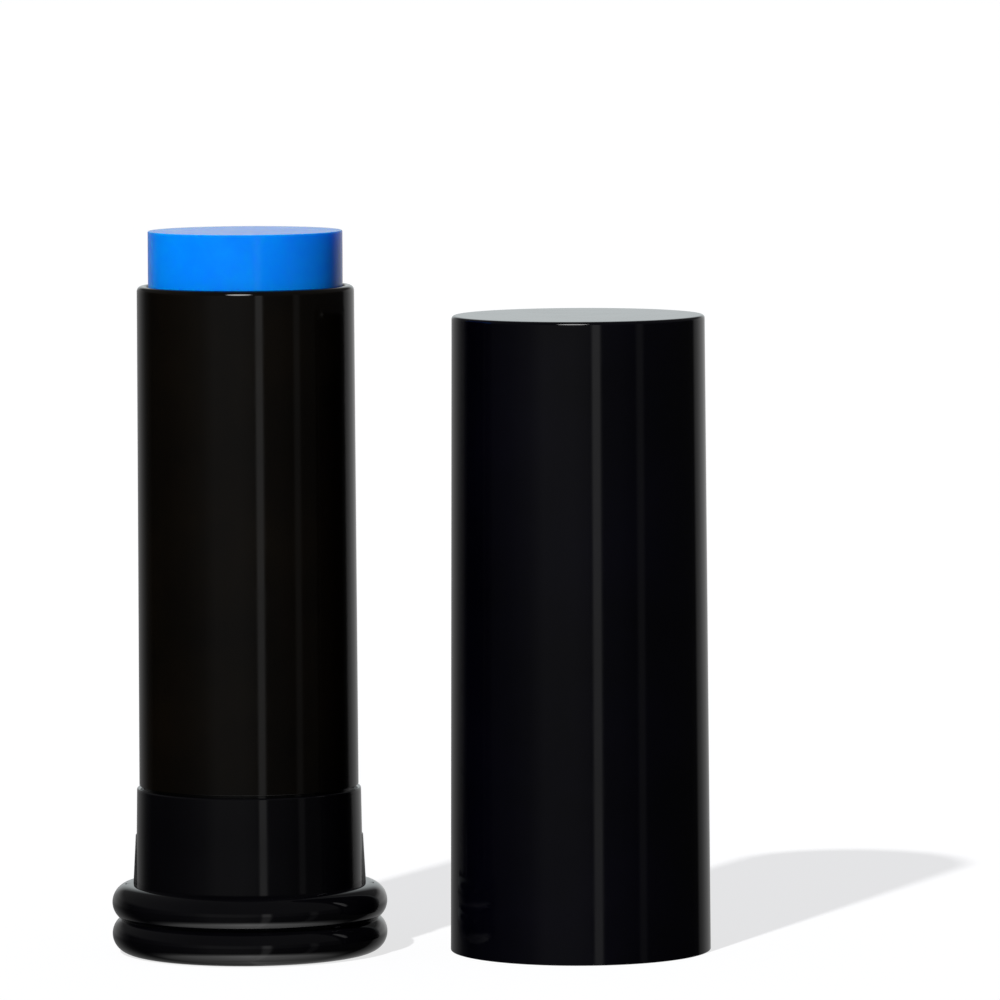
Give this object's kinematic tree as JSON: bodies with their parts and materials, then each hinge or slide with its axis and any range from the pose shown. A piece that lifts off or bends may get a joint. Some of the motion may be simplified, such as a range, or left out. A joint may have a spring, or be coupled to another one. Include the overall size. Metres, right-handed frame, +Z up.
{
  "type": "paint stick",
  "caption": "Twist-up stick of blue face paint in a black barrel on a ringed base, with its black cap off and standing beside it. Turning the barrel raises the paint.",
  "frame": {"origin": "centre of the stick's flat foot, on the stick's axis", "axes": "+Z up the stick's axis, +X towards the axis of the cap that stands beside it"},
  "size_m": [0.0696, 0.032, 0.0839],
  "materials": {
    "cap_black": "polished cool black",
    "base_black": "polished cool black",
    "barrel_black": "polished warm black",
    "mechanism_white": "natural, unpolished",
    "blue_paint": "smooth satin wax"
  },
  "bodies": {
    "base": {"base": "base_black", "screw": "mechanism_white", "cap": "cap_black"},
    "barrel": {"barrel": "barrel_black"},
    "carrier": {"carrier": "mechanism_white", "paint": "blue_paint"}
  },
  "joints": [
    {"name": "barrel_twist", "type": "hinge", "parent": "base", "child": "barrel", "pos_m": [0, 0, 0.0062], "axis": [0, 0, 1], "range_deg": [-382.5, 2340]},
    {"name": "paint_rise", "type": "slide", "parent": "barrel", "child": "carrier", "axis": [0, 0, 1], "range_m": [-0.0086, 0.0521]}
  ],
  "couplings": [
    {"joint": "paint_rise", "follows": "barrel_twist", "m_per_rad": 0.0012732}
  ]
}
